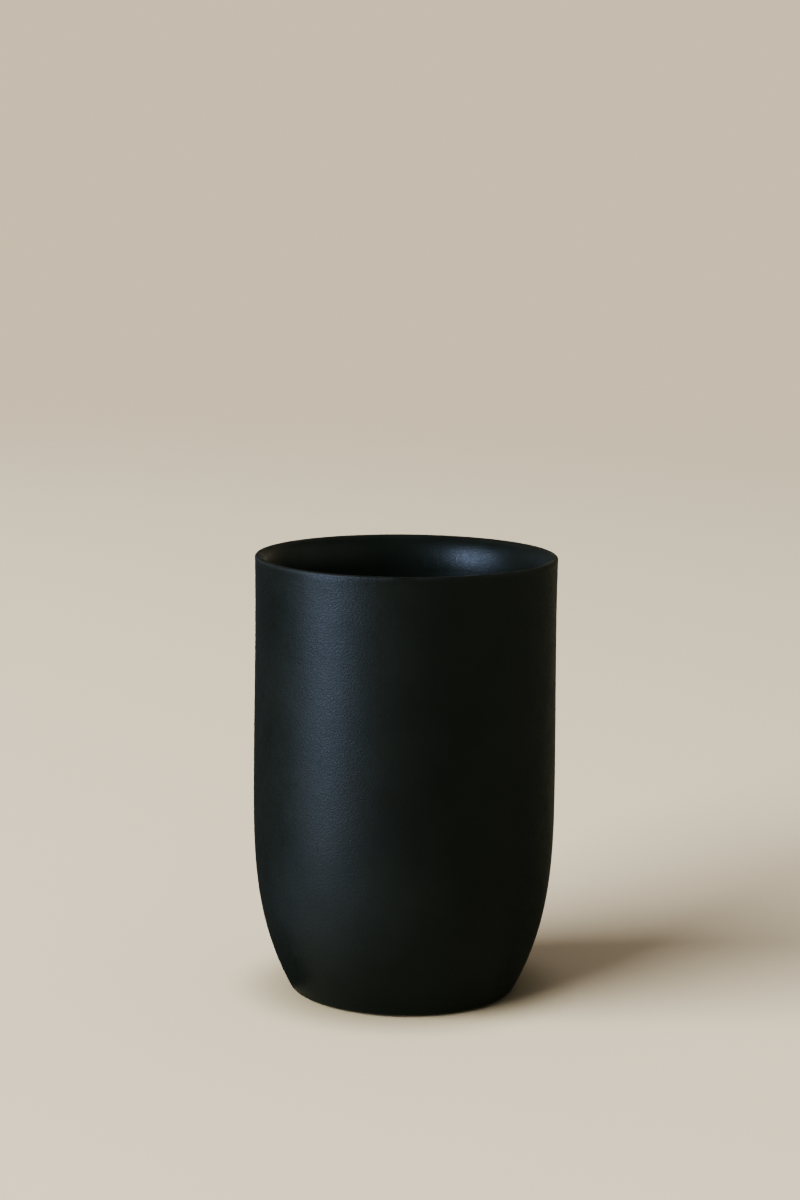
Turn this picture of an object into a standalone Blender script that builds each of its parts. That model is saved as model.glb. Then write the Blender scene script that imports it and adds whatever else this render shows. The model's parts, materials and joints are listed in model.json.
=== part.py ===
"""An empty one-piece candle jar, open at the top, with a non-slip pad set into its underside.

Metres, +Z up. The origin is the middle of the pad's underside, on the jar's turning axis. The jar's own
profile is measured from its foot ring, which the pad holds just clear of the table.
"""

import math

import bpy
from mathutils import Vector
from mathutils.geometry import interpolate_bezier

# Overall size, from the foot ring up
BODY_HEIGHT = 0.1171
RIM_RADIUS = 0.0400
BELLY_RADIUS = 0.0402
BELLY_HEIGHT = 0.0560

# Outer wall
PULL_IN = 0.01035  # how far in from the belly the wall would be if it ran straight on down to the foot ring
PULL_IN_POWER = 3
RIM_FLARE = 0.02  # radius gained per unit of height where the wall meets the lip
OUTER_WALL_POINTS = 22

# Lip: a small rounding outside and a long easy slope inside
LIP_OUTER_RADIUS = 0.0006
LIP_OUTER_POINTS = 5
LIP_SLOPE_WIDTH = 0.0046
LIP_SLOPE_DEPTH = 0.0095
LIP_SLOPE_POINTS = 10

# Inside
WALL = LIP_OUTER_RADIUS + LIP_SLOPE_WIDTH
FLOOR_THICKNESS = 0.0048
HEEL_HEIGHT = 0.0200  # where the inner wall starts to turn into the floor
HEEL_FLAT_RADIUS = 0.0205  # where the flat floor begins
HEEL_ROUNDNESS = 0.58
HEEL_POINTS = 9
INNER_WALL_POINTS = 9

# Foot ring, and the recess inside it
FOOT_CORNER_RADIUS = 0.0020
FOOT_CORNER_POINTS = 5
FOOT_RING_WIDTH = 0.0038
RECESS_DEPTH = 0.0018
RECESS_EDGE_RADIUS = 0.0006
RECESS_EDGE_POINTS = 3

# Pad
PAD_STANDS_PROUD = 0.0004
PAD_SIDE_GAP = 0.0006
PAD_TOP_GAP = 0.0003
PAD_EDGE_RADIUS = 0.0003
PAD_EDGE_POINTS = 3

AROUND = 72
TINY = 0.00001

FLOOR_HEIGHT = RECESS_DEPTH + FLOOR_THICKNESS
LIP_SLOPE_FOOT = BODY_HEIGHT - LIP_SLOPE_DEPTH
LIP_CREST_RADIUS = RIM_RADIUS - LIP_OUTER_RADIUS


def clear_scene():
    for thing in list(bpy.data.objects):
        bpy.data.objects.remove(thing, do_unlink=True)


def make_material(name, colour, roughness):
    material = bpy.data.materials.new(name)
    material.use_nodes = True
    shader = material.node_tree.nodes["Principled BSDF"]
    shader.inputs["Base Color"].default_value = (*colour, 1.0)
    shader.inputs["Roughness"].default_value = roughness
    shader.inputs["Metallic"].default_value = 0.0
    return material


def between(start, end, count):
    """Evenly spaced values from start to end, both included."""
    return [start + (end - start) * i / (count - 1) for i in range(count)]


def arc(centre, size, start, end, count):
    """Points (radius, height) on an elliptical arc between two angles in degrees, 0 being outwards."""
    angles = [math.radians(angle) for angle in between(start, end, count)]
    return [(centre[0] + size[0] * math.cos(a), centre[1] + size[1] * math.sin(a)) for a in angles]


def outer_radius(z):
    """The outer wall draws in as a cube law below the belly, and has a faint waist below the rim."""
    if z < BELLY_HEIGHT:
        return BELLY_RADIUS - PULL_IN * (1 - z / BELLY_HEIGHT) ** PULL_IN_POWER
    span = BODY_HEIGHT - BELLY_HEIGHT
    t = (z - BELLY_HEIGHT) / span
    belly_share = 2 * t**3 - 3 * t**2 + 1
    flare = (t**3 - t**2) * span * RIM_FLARE
    return belly_share * BELLY_RADIUS + (1 - belly_share) * RIM_RADIUS + flare


def outer_lean(z):
    """Radius gained per unit of height on the outer wall."""
    return (outer_radius(z + TINY) - outer_radius(z)) / TINY


def inner_radius(z):
    return outer_radius(z) - WALL


def floor_and_heel():
    """From the middle of the floor out to the foot of the inner wall, the heel being one smooth curve."""
    wall_radius = inner_radius(HEEL_HEIGHT)
    run = (wall_radius - HEEL_FLAT_RADIUS) * HEEL_ROUNDNESS
    drop = (HEEL_HEIGHT - FLOOR_HEIGHT) * HEEL_ROUNDNESS
    heel = interpolate_bezier(
        Vector((HEEL_FLAT_RADIUS, FLOOR_HEIGHT)),
        Vector((HEEL_FLAT_RADIUS + run, FLOOR_HEIGHT)),
        Vector((wall_radius - outer_lean(HEEL_HEIGHT) * drop, HEEL_HEIGHT - drop)),
        Vector((wall_radius, HEEL_HEIGHT)),
        HEEL_POINTS,
    )
    return [(0.0, FLOOR_HEIGHT)] + [(point.x, point.y) for point in heel]


def inner_wall():
    heights = between(HEEL_HEIGHT, LIP_SLOPE_FOOT, INNER_WALL_POINTS)
    return [(inner_radius(z), z) for z in heights[1:-1]]


def lip():
    """Up the slope inside the lip, over its crest and down the small outer rounding."""
    slope_size = (LIP_SLOPE_WIDTH, LIP_SLOPE_DEPTH)
    round_size = (LIP_OUTER_RADIUS, LIP_OUTER_RADIUS)
    slope = arc((LIP_CREST_RADIUS, LIP_SLOPE_FOOT), slope_size, 180, 90, LIP_SLOPE_POINTS)
    rounding = arc((LIP_CREST_RADIUS, BODY_HEIGHT - LIP_OUTER_RADIUS), round_size, 90, 0, LIP_OUTER_POINTS)
    return slope + rounding[1:]


def outer_wall(bottom):
    heights = between(BODY_HEIGHT - LIP_OUTER_RADIUS, bottom, OUTER_WALL_POINTS)
    return [(outer_radius(z), z) for z in heights[1:-1]]


def foot_corner():
    """The rounding that carries the leaning outer wall on to the flat foot ring."""
    lean = math.atan(outer_lean(FOOT_CORNER_RADIUS))
    touch = FOOT_CORNER_RADIUS * (1 - math.sin(lean))
    centre_radius = outer_radius(touch) - FOOT_CORNER_RADIUS * math.cos(lean)
    size = (FOOT_CORNER_RADIUS, FOOT_CORNER_RADIUS)
    return arc((centre_radius, FOOT_CORNER_RADIUS), size, -math.degrees(lean), -90, FOOT_CORNER_POINTS)


def recess_radius():
    """Radius at which the foot ring's flat ends and the recess begins."""
    return foot_corner()[-1][0] - FOOT_RING_WIDTH


def recess():
    """From the foot ring up the rounded step into the recess, and in to the axis."""
    size = (RECESS_EDGE_RADIUS, RECESS_EDGE_RADIUS)
    step = arc((recess_radius(), RECESS_EDGE_RADIUS), size, 270, 180, RECESS_EDGE_POINTS)
    return step + [(step[-1][0], RECESS_DEPTH), (0.0, RECESS_DEPTH)]


def turn(name, profile, material):
    """A solid of revolution about Z, from a profile whose two ends are on the axis."""
    mesh = bpy.data.meshes.new(name)
    edges = [(i, i + 1) for i in range(len(profile) - 1)]
    mesh.from_pydata([(radius, 0.0, z) for radius, z in profile], edges, [])
    mesh.materials.append(material)
    turned = bpy.data.objects.new(name, mesh)
    bpy.context.collection.objects.link(turned)
    screw = turned.modifiers.new("turn", "SCREW")
    screw.axis = "Z"
    screw.angle = 2 * math.pi
    screw.steps = AROUND
    screw.render_steps = AROUND
    screw.use_merge_vertices = True
    screw.merge_threshold = TINY
    screw.use_smooth_shade = True
    return turned


def make_jar_body():
    """The whole vessel: inside, lip, outside, foot ring and recess in one turned wall."""
    corner = foot_corner()
    inside = floor_and_heel() + inner_wall() + lip()
    outside = outer_wall(corner[0][1]) + corner + recess()
    satin_black = make_material("satin_black", (0.006, 0.0065, 0.0065), 0.45)
    body = turn("jar_body", inside + outside, satin_black)
    body.location.z = PAD_STANDS_PROUD
    return body


def make_base_pad():
    """A rubber disc that fills the recess and stands a little proud of the foot ring."""
    radius = recess_radius() - RECESS_EDGE_RADIUS - PAD_SIDE_GAP - PAD_EDGE_RADIUS
    top = PAD_STANDS_PROUD + RECESS_DEPTH - PAD_TOP_GAP
    size = (PAD_EDGE_RADIUS, PAD_EDGE_RADIUS)
    upper_edge = arc((radius, top - PAD_EDGE_RADIUS), size, 90, 0, PAD_EDGE_POINTS)
    lower_edge = arc((radius, PAD_EDGE_RADIUS), size, 0, -90, PAD_EDGE_POINTS)
    rubber = make_material("black_rubber", (0.012, 0.012, 0.013), 0.8)
    return turn("base_pad", [(0.0, top)] + upper_edge + lower_edge + [(0.0, 0.0)], rubber)


def main():
    clear_scene()
    make_jar_body()
    make_base_pad()


main()
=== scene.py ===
import json
import math

import bmesh
import bpy
from mathutils import Matrix, Vector
from mathutils.geometry import interpolate_bezier


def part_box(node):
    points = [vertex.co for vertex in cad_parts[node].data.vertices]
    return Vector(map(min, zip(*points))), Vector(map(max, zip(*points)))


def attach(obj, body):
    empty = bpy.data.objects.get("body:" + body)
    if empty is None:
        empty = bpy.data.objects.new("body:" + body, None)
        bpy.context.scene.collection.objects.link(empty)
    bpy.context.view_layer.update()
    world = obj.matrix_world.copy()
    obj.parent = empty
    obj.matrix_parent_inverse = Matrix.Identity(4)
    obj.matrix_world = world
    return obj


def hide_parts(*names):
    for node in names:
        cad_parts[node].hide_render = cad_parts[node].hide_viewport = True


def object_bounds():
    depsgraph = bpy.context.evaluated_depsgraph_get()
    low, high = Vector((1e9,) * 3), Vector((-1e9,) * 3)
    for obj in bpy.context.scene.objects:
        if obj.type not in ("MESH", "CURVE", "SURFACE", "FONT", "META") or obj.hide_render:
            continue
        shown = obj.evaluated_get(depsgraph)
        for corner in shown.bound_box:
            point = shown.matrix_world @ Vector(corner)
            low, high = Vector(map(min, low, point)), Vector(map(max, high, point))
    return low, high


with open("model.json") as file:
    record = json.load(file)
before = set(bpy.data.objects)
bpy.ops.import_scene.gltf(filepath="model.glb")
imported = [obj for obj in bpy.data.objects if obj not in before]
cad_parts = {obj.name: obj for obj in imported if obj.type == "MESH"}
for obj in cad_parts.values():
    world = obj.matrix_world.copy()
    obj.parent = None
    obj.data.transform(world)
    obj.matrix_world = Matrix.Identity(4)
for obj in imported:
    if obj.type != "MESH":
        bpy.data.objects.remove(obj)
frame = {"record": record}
CAD_LOW, CAD_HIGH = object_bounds()

# The jar's size in metres, from the frame
BODY_LOW, BODY_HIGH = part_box("jar_body")
PAD_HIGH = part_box("base_pad")[1]
FOOT_Z = BODY_LOW.z
BODY_HEIGHT = BODY_HIGH.z - BODY_LOW.z
BELLY_RADIUS = BODY_HIGH.x
MOUNT_PLACES = {mount["name"]: mount["pos_m"] for mount in frame["record"]["mounts"]}
INSIDE_FLOOR_Z = MOUNT_PLACES["wick_seat"][2]

# Outer wall, with heights measured from the foot ring
RIM_RADIUS = BELLY_RADIUS - 0.0002
BELLY_HEIGHT = 0.0560
PULL_IN = 0.01035  # how far in from the belly the wall would be if it ran on down to the foot ring
PULL_IN_POWER = 3
RIM_FLARE = 0.02  # radius gained per unit of height where the wall meets the lip
OUTER_WALL_POINTS = 80

# Lip: a small rounding outside and a long easy slope inside
LIP_OUTER_RADIUS = 0.0006
LIP_OUTER_POINTS = 12
LIP_SLOPE_WIDTH = 0.0046
LIP_SLOPE_DEPTH = 0.0095
LIP_SLOPE_POINTS = 32
LIP_SLOPE_FOOT = BODY_HEIGHT - LIP_SLOPE_DEPTH
LIP_CREST_RADIUS = RIM_RADIUS - LIP_OUTER_RADIUS

# Inside
WALL = LIP_OUTER_RADIUS + LIP_SLOPE_WIDTH
FLOOR_HEIGHT = INSIDE_FLOOR_Z - FOOT_Z
FLOOR_POINTS = 10
HEEL_HEIGHT = 0.0200  # where the inner wall starts to turn into the floor
HEEL_FLAT_RADIUS = 0.0205  # where the flat floor begins
HEEL_ROUNDNESS = 0.58
HEEL_POINTS = 24
INNER_WALL_POINTS = 40

# Foot ring, and the recess inside it
FOOT_CORNER_RADIUS = 0.0020
FOOT_CORNER_POINTS = 12
FOOT_RING_WIDTH = 0.0038
RECESS_DEPTH = 0.0018
RECESS_EDGE_RADIUS = 0.0006
RECESS_EDGE_POINTS = 6
RECESS_POINTS = 12

# Pad, with grooves in its tread
PAD_EDGE_RADIUS = 0.0003
PAD_EDGE_POINTS = 6
TREAD_GROOVES = 5
TREAD_GROOVE_WIDTH = 0.0011
TREAD_GROOVE_DEPTH = 0.0003
TREAD_GROOVE_POINTS = 9

AROUND = 288
TINY = 0.00001

# Glaze
GLAZE_DARK = (0.0038, 0.0046, 0.0034)
GLAZE_LIGHT = (0.0060, 0.0070, 0.0055)
GLAZE_WORN = (0.011, 0.0105, 0.009)
GLAZE_SPECULAR = 0.14
INSIDE_ROUGHNESS = (0.38, 0.44)
OUTSIDE_ROUGHNESS = (0.42, 0.48)
MOTTLE_ROUGHNESS = (-0.05, 0.05)
WORN_ROUGHNESS = (0, 0.2)

# Foot ring's clay
CLAY_DARK = (0.020, 0.017, 0.014)
CLAY_LIGHT = (0.065, 0.056, 0.047)
CLAY_ROUGHNESS = 0.9

# Pad's rubber
RUBBER_BLACK = (0.013, 0.013, 0.0135)
RUBBER_DUSTY = (0.050, 0.049, 0.047)
RUBBER_ROUGHNESS = (0.65, 0.88)

# Camera
LENS_MM = 85
SENSOR_MM = 36
CAMERA_DISTANCE = 0.7405
CAMERA_ABOVE_RIM = 0.107
CAMERA_TILT_DOWN = math.radians(9.14)
CAMERA_PAN_LEFT = math.radians(0.125)
CAMERA_ROLL = math.radians(0.56)

# Floor, with painted shade round the foot (a painted contact shadow and a painted dark reflection of the
# jar), and which fades out far from it
FLOOR_RADIUS = 2.2
FLOOR_FADE = (0.8, 1.9)
FLOOR_COLOUR = (0.74, 0.60, 0.44)
FLOOR_ROUGHNESS = 0.9
# Painted shade round the foot: the darkened floor colour and the distances over which it fades back to the
# floor colour
PAINTED_SHADE_COLOUR = (0.44, 0.35, 0.24)
PAINTED_SHADE_FADE = (0.027, 0.050)

# Surround
SURROUND_RADIUS = 6.0
SURROUND_SUBDIVISIONS = 4
SURROUND_COLOUR = (0.62, 0.53, 0.39, 1)

# Dark cards that only reflections see, one on each side of the gap behind the jar: painted shade, which the
# jar's edges mirror in place of the pale floor
CARD_GAP = 0.03
CARD_SIDE = 2.0
CARD_FRONT = -0.02
CARD_BACK = 0.9
CARD_TOP = 0.9
CARD_Z = 0.001
LEFT_CARD_SHADE_COLOUR = (0.055, 0.045, 0.035, 1)
RIGHT_CARD_SHADE_COLOUR = (0.32, 0.27, 0.19, 1)

# Glow on the floor that only reflections see
GLOW_AZIMUTH = math.radians(52)
GLOW_DISTANCE = 0.28
GLOW_Z = 0.002

# Room light and tone
ROOM_COLOUR = (1.0, 1.0, 0.98, 1)
ROOM_STRENGTH = 0.30
BLACK_LEVEL = (-0.0040, -0.0060, -0.0045)


def between(start, end, count):
    """Evenly spaced values from start to end, both included."""
    return [start + (end - start) * i / (count - 1) for i in range(count)]


def arc(centre, size, start, end, count):
    """Points (radius, height) on an elliptical arc between two angles in degrees, 0 being outwards."""
    angles = [math.radians(angle) for angle in between(start, end, count)]
    return [(centre[0] + size[0] * math.cos(a), centre[1] + size[1] * math.sin(a)) for a in angles]


def outer_radius(z):
    """The outer wall draws in as a cube law below the belly, and has a faint waist below the rim."""
    if z < BELLY_HEIGHT:
        return BELLY_RADIUS - PULL_IN * (1 - z / BELLY_HEIGHT) ** PULL_IN_POWER
    span = BODY_HEIGHT - BELLY_HEIGHT
    t = (z - BELLY_HEIGHT) / span
    belly_share = 2 * t**3 - 3 * t**2 + 1
    flare = (t**3 - t**2) * span * RIM_FLARE
    return belly_share * BELLY_RADIUS + (1 - belly_share) * RIM_RADIUS + flare


def outer_lean(z):
    """Radius gained per unit of height on the outer wall."""
    return (outer_radius(z + TINY) - outer_radius(z)) / TINY


def inner_radius(z):
    return outer_radius(z) - WALL


def floor_and_heel():
    """From the middle of the floor out to the foot of the inner wall, the heel being one smooth curve."""
    wall_radius = inner_radius(HEEL_HEIGHT)
    run = (wall_radius - HEEL_FLAT_RADIUS) * HEEL_ROUNDNESS
    drop = (HEEL_HEIGHT - FLOOR_HEIGHT) * HEEL_ROUNDNESS
    heel = interpolate_bezier(
        Vector((HEEL_FLAT_RADIUS, FLOOR_HEIGHT)),
        Vector((HEEL_FLAT_RADIUS + run, FLOOR_HEIGHT)),
        Vector((wall_radius - outer_lean(HEEL_HEIGHT) * drop, HEEL_HEIGHT - drop)),
        Vector((wall_radius, HEEL_HEIGHT)),
        HEEL_POINTS,
    )
    flat = [(radius, FLOOR_HEIGHT) for radius in between(0, HEEL_FLAT_RADIUS, FLOOR_POINTS)[:-1]]
    return flat + [(point.x, point.y) for point in heel]


def inner_wall():
    heights = between(HEEL_HEIGHT, LIP_SLOPE_FOOT, INNER_WALL_POINTS)
    return [(inner_radius(z), z) for z in heights[1:-1]]


def lip():
    """Up the slope inside the lip, over its crest and down the small outer rounding."""
    slope_size = (LIP_SLOPE_WIDTH, LIP_SLOPE_DEPTH)
    round_size = (LIP_OUTER_RADIUS, LIP_OUTER_RADIUS)
    slope = arc((LIP_CREST_RADIUS, LIP_SLOPE_FOOT), slope_size, 180, 90, LIP_SLOPE_POINTS)
    rounding = arc((LIP_CREST_RADIUS, BODY_HEIGHT - LIP_OUTER_RADIUS), round_size, 90, 0, LIP_OUTER_POINTS)
    return slope + rounding[1:]


def outer_wall(bottom):
    heights = between(BODY_HEIGHT - LIP_OUTER_RADIUS, bottom, OUTER_WALL_POINTS)
    return [(outer_radius(z), z) for z in heights[1:-1]]


def foot_corner():
    """The rounding that carries the leaning outer wall on to the flat foot ring."""
    lean = math.atan(outer_lean(FOOT_CORNER_RADIUS))
    touch = FOOT_CORNER_RADIUS * (1 - math.sin(lean))
    centre_radius = outer_radius(touch) - FOOT_CORNER_RADIUS * math.cos(lean)
    size = (FOOT_CORNER_RADIUS, FOOT_CORNER_RADIUS)
    return arc((centre_radius, FOOT_CORNER_RADIUS), size, -math.degrees(lean), -90, FOOT_CORNER_POINTS)


def recess_radius():
    """Radius at which the foot ring's flat ends and the recess begins."""
    return foot_corner()[-1][0] - FOOT_RING_WIDTH


def recess():
    """From the foot ring up the rounded step into the recess, and in to the axis."""
    size = (RECESS_EDGE_RADIUS, RECESS_EDGE_RADIUS)
    step = arc((recess_radius(), RECESS_EDGE_RADIUS), size, 270, 180, RECESS_EDGE_POINTS)
    return step + [(radius, RECESS_DEPTH) for radius in between(step[-1][0], 0, RECESS_POINTS)]


def tread(reach):
    """The pad's underside from its rim to its middle: round grooves, evenly spaced over the reach."""
    points = []
    pitch = reach / (TREAD_GROOVES + 1)
    for ring in range(TREAD_GROOVES, 0, -1):
        for t in between(0, math.pi, TREAD_GROOVE_POINTS):
            radius = ring * pitch + TREAD_GROOVE_WIDTH / 2 * math.cos(t)
            points.append((radius, TREAD_GROOVE_DEPTH * math.sin(t)))
    return points


def add_mesh_object(name, verts, faces, materials):
    mesh = bpy.data.meshes.new(name)
    mesh.from_pydata(verts, [], faces)
    for material in materials:
        mesh.materials.append(material)
    thing = bpy.data.objects.new(name, mesh)
    bpy.context.scene.collection.objects.link(thing)
    return thing


def turn(name, profile, height, materials, slot_of):
    """A closed turned mesh with its faces looking out of the solid; slot_of gives each band's material.

    The profile starts and ends on the axis, with the solid on its right-hand side all the way.
    """
    verts = []
    rings = []
    for radius, z in profile:
        if radius < TINY:
            rings.append([len(verts)] * AROUND)
            verts.append((0.0, 0.0, z + height))
            continue
        rings.append(list(range(len(verts), len(verts) + AROUND)))
        for i in range(AROUND):
            angle = 2 * math.pi * i / AROUND
            verts.append((radius * math.cos(angle), radius * math.sin(angle), z + height))
    faces = []
    slots = []
    for band in range(len(profile) - 1):
        low, high = rings[band], rings[band + 1]
        for i in range(AROUND):
            j = (i + 1) % AROUND
            faces.append(list(dict.fromkeys((low[i], high[i], high[j], low[j]))))
            slots.append(slot_of(band))
    piece = add_mesh_object(name, verts, faces, materials)
    piece.data.polygons.foreach_set("material_index", slots)
    piece.data.shade_smooth()
    piece.data.update()
    return piece


def new_material(name):
    material = bpy.data.materials.new(name)
    material.use_nodes = True
    tree = material.node_tree
    return material, tree.nodes, tree.links, tree.nodes["Principled BSDF"]


def noise_texture(nodes, links, coordinates, scale, detail, roughness=0.5):
    texture = nodes.new("ShaderNodeTexNoise")
    texture.inputs["Scale"].default_value = scale
    texture.inputs["Detail"].default_value = detail
    texture.inputs["Roughness"].default_value = roughness
    links.new(coordinates.outputs["Object"], texture.inputs["Vector"])
    return texture.outputs["Fac"]


def remap(nodes, links, source, from_range, to_range, interpolation="LINEAR"):
    node = nodes.new("ShaderNodeMapRange")
    node.interpolation_type = interpolation
    node.inputs["From Min"].default_value, node.inputs["From Max"].default_value = from_range
    node.inputs["To Min"].default_value, node.inputs["To Max"].default_value = to_range
    links.new(source, node.inputs["Value"])
    return node.outputs["Result"]


def combine(nodes, links, operation, first, second):
    node = nodes.new("ShaderNodeMath")
    node.operation = operation
    links.new(first, node.inputs[0])
    links.new(second, node.inputs[1])
    return node.outputs["Value"]


def colour_ramp(nodes, links, source, places, low_colour, high_colour):
    node = nodes.new("ShaderNodeValToRGB")
    low, high = node.color_ramp.elements
    low.position, high.position = places
    low.color = (*low_colour, 1)
    high.color = (*high_colour, 1)
    links.new(source, node.inputs["Fac"])
    return node.outputs["Color"]


def mix_colours(nodes, links, share, first, second):
    node = nodes.new("ShaderNodeMix")
    node.data_type = "RGBA"
    links.new(share, node.inputs["Factor"])
    links.new(first, node.inputs["A"])
    links.new(second, node.inputs["B"])
    return node.outputs["Result"]


def add_bump(nodes, links, shader, height, strength, depth):
    bump = nodes.new("ShaderNodeBump")
    bump.inputs["Strength"].default_value = strength
    bump.inputs["Distance"].default_value = depth
    links.new(height, bump.inputs["Height"])
    links.new(bump.outputs["Normal"], shader.inputs["Normal"])


def worn_share(nodes, links, coordinates):
    """How worn the glaze is: it rises over the crown of the lip, and noise breaks it up."""
    parts = nodes.new("ShaderNodeSeparateXYZ")
    links.new(coordinates.outputs["Object"], parts.inputs["Vector"])
    crown_heights = (BODY_HIGH.z - 2 * LIP_OUTER_RADIUS, BODY_HIGH.z)
    crown = remap(nodes, links, parts.outputs["Z"], crown_heights, (0, 1))
    patches = noise_texture(nodes, links, coordinates, scale=160, detail=4)
    return combine(nodes, links, "MULTIPLY", crown, remap(nodes, links, patches, (0.30, 0.55), (0, 1)))


def satin_black(name, roughness_range):
    """Satin black glaze: cloudy in colour and roughness, with a fine dry grain and a slightly worn lip."""
    material, nodes, links, shader = new_material(name)
    coordinates = nodes.new("ShaderNodeTexCoord")
    cloud = noise_texture(nodes, links, coordinates, scale=45, detail=3)
    glaze = colour_ramp(nodes, links, cloud, (0.35, 0.7), GLAZE_DARK, GLAZE_LIGHT)
    worn_colour = nodes.new("ShaderNodeRGB")
    worn_colour.outputs["Color"].default_value = (*GLAZE_WORN, 1)
    worn = worn_share(nodes, links, coordinates)
    colour = mix_colours(nodes, links, worn, glaze, worn_colour.outputs["Color"])
    links.new(colour, shader.inputs["Base Color"])
    drift = noise_texture(nodes, links, coordinates, scale=170, detail=3)
    drift_roughness = remap(nodes, links, drift, (0.3, 0.7), roughness_range)
    mottle = noise_texture(nodes, links, coordinates, scale=900, detail=3, roughness=0.7)
    mottle_roughness = remap(nodes, links, mottle, (0.3, 0.7), MOTTLE_ROUGHNESS)
    uneven = combine(nodes, links, "ADD", drift_roughness, mottle_roughness)
    dulled = remap(nodes, links, worn, (0, 1), WORN_ROUGHNESS)
    links.new(combine(nodes, links, "ADD", uneven, dulled), shader.inputs["Roughness"])
    grain = noise_texture(nodes, links, coordinates, scale=2100, detail=2, roughness=0.7)
    add_bump(nodes, links, shader, grain, strength=0.5, depth=0.00015)
    shader.inputs["Specular IOR Level"].default_value = GLAZE_SPECULAR
    return material


def bare_clay():
    """The unglazed foot ring: dark stoneware, dry and gritty."""
    material, nodes, links, shader = new_material("unglazed_dark_stoneware")
    coordinates = nodes.new("ShaderNodeTexCoord")
    grit = noise_texture(nodes, links, coordinates, scale=1200, detail=5, roughness=0.7)
    clay = colour_ramp(nodes, links, grit, (0.35, 0.75), CLAY_DARK, CLAY_LIGHT)
    links.new(clay, shader.inputs["Base Color"])
    add_bump(nodes, links, shader, grit, strength=0.6, depth=0.0002)
    shader.inputs["Roughness"].default_value = CLAY_ROUGHNESS
    return material


def pad_rubber():
    """Matt black rubber with a fine moulded texture and a little pale dust."""
    material, nodes, links, shader = new_material("black_rubber")
    coordinates = nodes.new("ShaderNodeTexCoord")
    dust = noise_texture(nodes, links, coordinates, scale=250, detail=5, roughness=0.65)
    rubber = colour_ramp(nodes, links, dust, (0.45, 0.8), RUBBER_BLACK, RUBBER_DUSTY)
    links.new(rubber, shader.inputs["Base Color"])
    links.new(remap(nodes, links, dust, (0.35, 0.7), RUBBER_ROUGHNESS), shader.inputs["Roughness"])
    texture = noise_texture(nodes, links, coordinates, scale=2500, detail=2)
    add_bump(nodes, links, shader, texture, strength=0.4, depth=0.00008)
    return material


def make_jar():
    corner = foot_corner()
    inside = floor_and_heel() + inner_wall() + lip()
    before_ring = inside + outer_wall(corner[0][1]) + corner
    ring_band = len(before_ring) - 1
    materials = [
        satin_black("satin_black_inside", INSIDE_ROUGHNESS),
        satin_black("satin_black_outside", OUTSIDE_ROUGHNESS),
        bare_clay(),
    ]

    def slot_of(band):
        return (band >= len(inside)) + (band == ring_band)

    piece = turn("jar_vessel", before_ring + recess(), FOOT_Z, materials, slot_of)
    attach(piece, "root")
    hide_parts("jar_body")


def make_pad():
    top = PAD_HIGH.z
    reach = PAD_HIGH.x - PAD_EDGE_RADIUS
    size = (PAD_EDGE_RADIUS, PAD_EDGE_RADIUS)
    upper_edge = arc((reach, top - PAD_EDGE_RADIUS), size, 90, 0, PAD_EDGE_POINTS)
    lower_edge = arc((reach, PAD_EDGE_RADIUS), size, 0, -90, PAD_EDGE_POINTS)
    profile = [(0.0, top)] + upper_edge + lower_edge + tread(reach) + [(0.0, 0.0)]
    piece = turn("base_pad_treaded", profile, 0.0, [pad_rubber()], lambda band: 0)
    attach(piece, "root")
    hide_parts("base_pad")


def make_floor():
    """A round pale floor that fades into the surround. Round the foot its colour is darkened: painted shade,
    for a painted contact shadow and a painted dark reflection of the jar.
    """
    material, nodes, links, shader = new_material("pale_floor")
    shader.inputs["Roughness"].default_value = FLOOR_ROUGHNESS
    shader.inputs["Specular IOR Level"].default_value = 0
    coordinates = nodes.new("ShaderNodeTexCoord")
    length = nodes.new("ShaderNodeVectorMath")
    length.operation = "LENGTH"
    links.new(coordinates.outputs["Object"], length.inputs[0])
    distance = length.outputs["Value"]
    # Painted shade: the floor colour darkens towards the foot, standing in for its contact shadow and the
    # jar's reflection
    painted_shade = remap(nodes, links, distance, PAINTED_SHADE_FADE, (0, 1), "SMOOTHSTEP")
    colour = colour_ramp(nodes, links, painted_shade, (0, 1), PAINTED_SHADE_COLOUR, FLOOR_COLOUR)
    links.new(colour, shader.inputs["Base Color"])
    fade = remap(nodes, links, distance, FLOOR_FADE, (1, 0), "SMOOTHSTEP")
    links.new(fade, shader.inputs["Alpha"])
    angles = [2 * math.pi * i / AROUND for i in range(AROUND)]
    verts = [(FLOOR_RADIUS * math.cos(a), FLOOR_RADIUS * math.sin(a), 0.0) for a in angles]
    floor = add_mesh_object("floor", verts, [list(range(AROUND))], [material])


def make_surround():
    """A pale ball round everything, which the camera sees and which gives no light."""
    material, nodes, links, _ = new_material("pale_surround")
    glow = nodes.new("ShaderNodeEmission")
    glow.inputs["Color"].default_value = SURROUND_COLOUR
    links.new(glow.outputs["Emission"], nodes["Material Output"].inputs["Surface"])
    surround = add_mesh_object("surround", [], [], [material])
    ball = bmesh.new()
    bmesh.ops.create_icosphere(ball, subdivisions=SURROUND_SUBDIVISIONS, radius=SURROUND_RADIUS)
    ball.to_mesh(surround.data)
    ball.free()
    surround.visible_diffuse = False
    surround.visible_glossy = False
    surround.visible_transmission = False
    surround.visible_shadow = False


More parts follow.
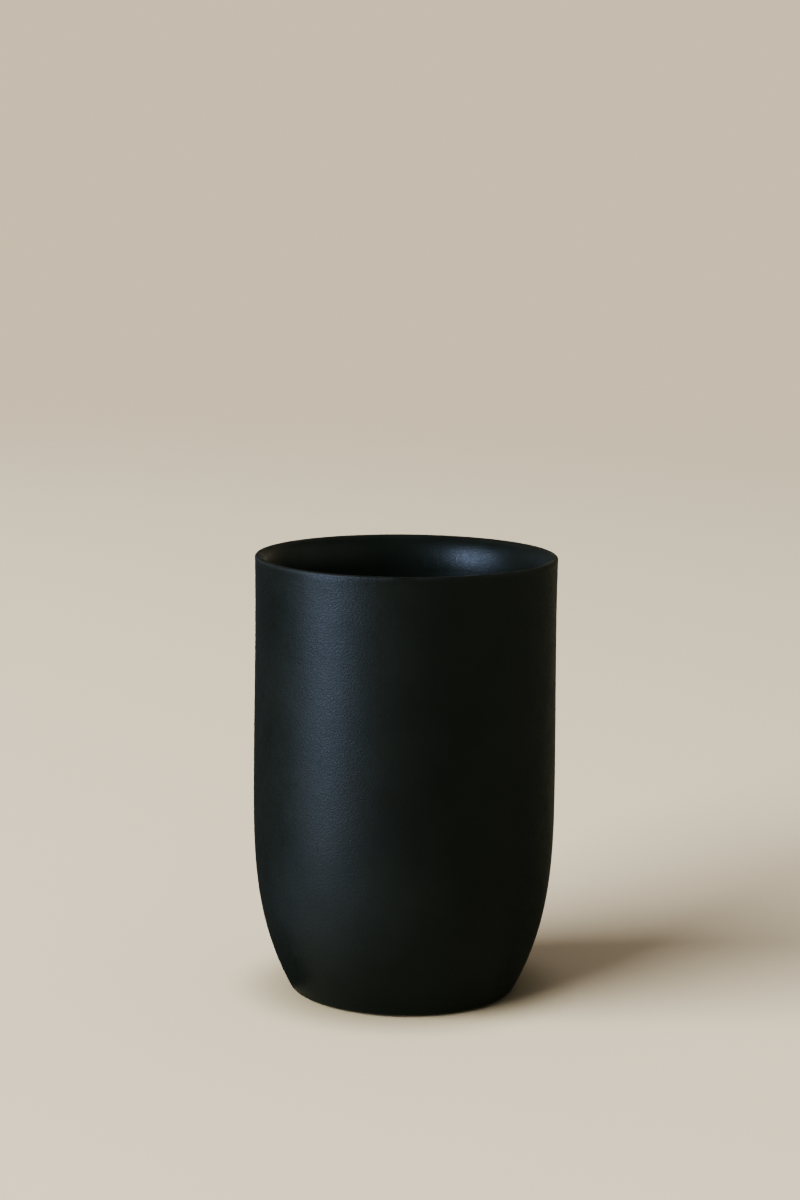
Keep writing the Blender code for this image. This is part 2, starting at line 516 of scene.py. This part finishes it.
def make_card(name, left, right, colour):
    """A card that lies on the floor at one side and stands up behind, and that only reflections see. Its
    dark colour is painted shade in the jar's reflections.
    """
    verts = [
        (left, CARD_FRONT, CARD_Z),
        (right, CARD_FRONT, CARD_Z),
        (left, CARD_BACK, CARD_Z),
        (right, CARD_BACK, CARD_Z),
        (left, CARD_BACK, CARD_TOP),
        (right, CARD_BACK, CARD_TOP),
    ]
    material, _, _, shader = new_material(name)
    shader.inputs["Base Color"].default_value = colour
    card = add_mesh_object(name, verts, [(0, 1, 3, 2), (2, 3, 5, 4)], [material])
    card.visible_camera = False
    card.visible_diffuse = False
    card.visible_shadow = False


def add_area_light(name, width, height, power, colour):
    light = bpy.data.lights.new(name, "AREA")
    light.shape = "RECTANGLE"
    light.size = width
    light.size_y = height
    light.energy = power
    light.color = colour
    lamp = bpy.data.objects.new(name, light)
    bpy.context.scene.collection.objects.link(lamp)
    lamp.visible_camera = False
    return lamp


def aim(lamp, azimuth, elevation, distance):
    """Faces a lamp to the jar's middle. Azimuth runs from the camera's side to the left, in degrees."""
    a = math.radians(azimuth)
    e = math.radians(elevation)
    direction = Vector((-math.sin(a) * math.cos(e), -math.cos(a) * math.cos(e), math.sin(e)))
    lamp.location = direction * distance + Vector((0, 0, BODY_HEIGHT / 2))
    lamp.rotation_euler = direction.to_track_quat("Z", "Y").to_euler()


def make_window():
    """Daylight from the left, set apart into what falls on the floor and what shines in the glaze."""
    window = add_area_light("window", width=5.0, height=4.0, power=1014, colour=(0.84, 0.94, 1.0))
    aim(window, azimuth=59, elevation=16, distance=5.0)
    window.visible_glossy = False
    sheen = add_area_light("window_sheen", width=1.2, height=2.0, power=345, colour=(0.54, 0.67, 1.0))
    aim(sheen, azimuth=61, elevation=13, distance=3.0)
    sheen.visible_diffuse = False


def make_fill():
    """A faint shine on the jar's shaded side."""
    fill = add_area_light("fill_sheen", width=4.6, height=3.0, power=46, colour=(0.95, 1.0, 0.84))
    aim(fill, azimuth=-80, elevation=22, distance=3.0)
    fill.visible_diffuse = False


def make_table_glow():
    """The window's light on the floor in front of the jar, which the lower wall mirrors."""
    glow = add_area_light("table_glow", width=0.16, height=0.45, power=0.24, colour=(0.62, 0.74, 1.0))
    x = -GLOW_DISTANCE * math.sin(GLOW_AZIMUTH)
    y = -GLOW_DISTANCE * math.cos(GLOW_AZIMUTH)
    glow.location = (x, y, GLOW_Z)
    glow.rotation_euler = (math.pi, 0, -GLOW_AZIMUTH)
    glow.visible_diffuse = False


def make_room_light():
    world = bpy.data.worlds.new("room")
    bpy.context.scene.world = world
    world.use_nodes = True
    background = world.node_tree.nodes["Background"]
    background.inputs["Color"].default_value = ROOM_COLOUR
    background.inputs["Strength"].default_value = ROOM_STRENGTH


def make_camera():
    data = bpy.data.cameras.new("camera")
    data.lens = LENS_MM
    data.sensor_width = SENSOR_MM
    camera = bpy.data.objects.new("camera", data)
    bpy.context.scene.collection.objects.link(camera)
    place = Matrix.Translation((0, -CAMERA_DISTANCE, CAD_HIGH.z + CAMERA_ABOVE_RIM))
    pan = Matrix.Rotation(CAMERA_PAN_LEFT, 4, "Z")
    tilt = Matrix.Rotation(math.radians(90) - CAMERA_TILT_DOWN, 4, "X")
    roll = Matrix.Rotation(CAMERA_ROLL, 4, "Z")
    camera.matrix_world = place @ pan @ tilt @ roll
    bpy.context.scene.camera = camera


def set_tone():
    """A high contrast tone, with its blacks lifted very slightly."""
    view = bpy.context.scene.view_settings
    view.view_transform = "AgX"
    view.look = "AgX - High Contrast"
    view.use_curve_mapping = True
    view.curve_mapping.black_level = BLACK_LEVEL


make_camera()
make_jar()
make_pad()
make_floor()
make_surround()
# Dark cards: painted shade that the jar's edges mirror
make_card("left_card", -CARD_SIDE, -CARD_GAP, LEFT_CARD_SHADE_COLOUR)
make_card("right_card", CARD_GAP, CARD_SIDE, RIGHT_CARD_SHADE_COLOUR)
make_window()
make_fill()
make_table_glow()
make_room_light()
set_tone()
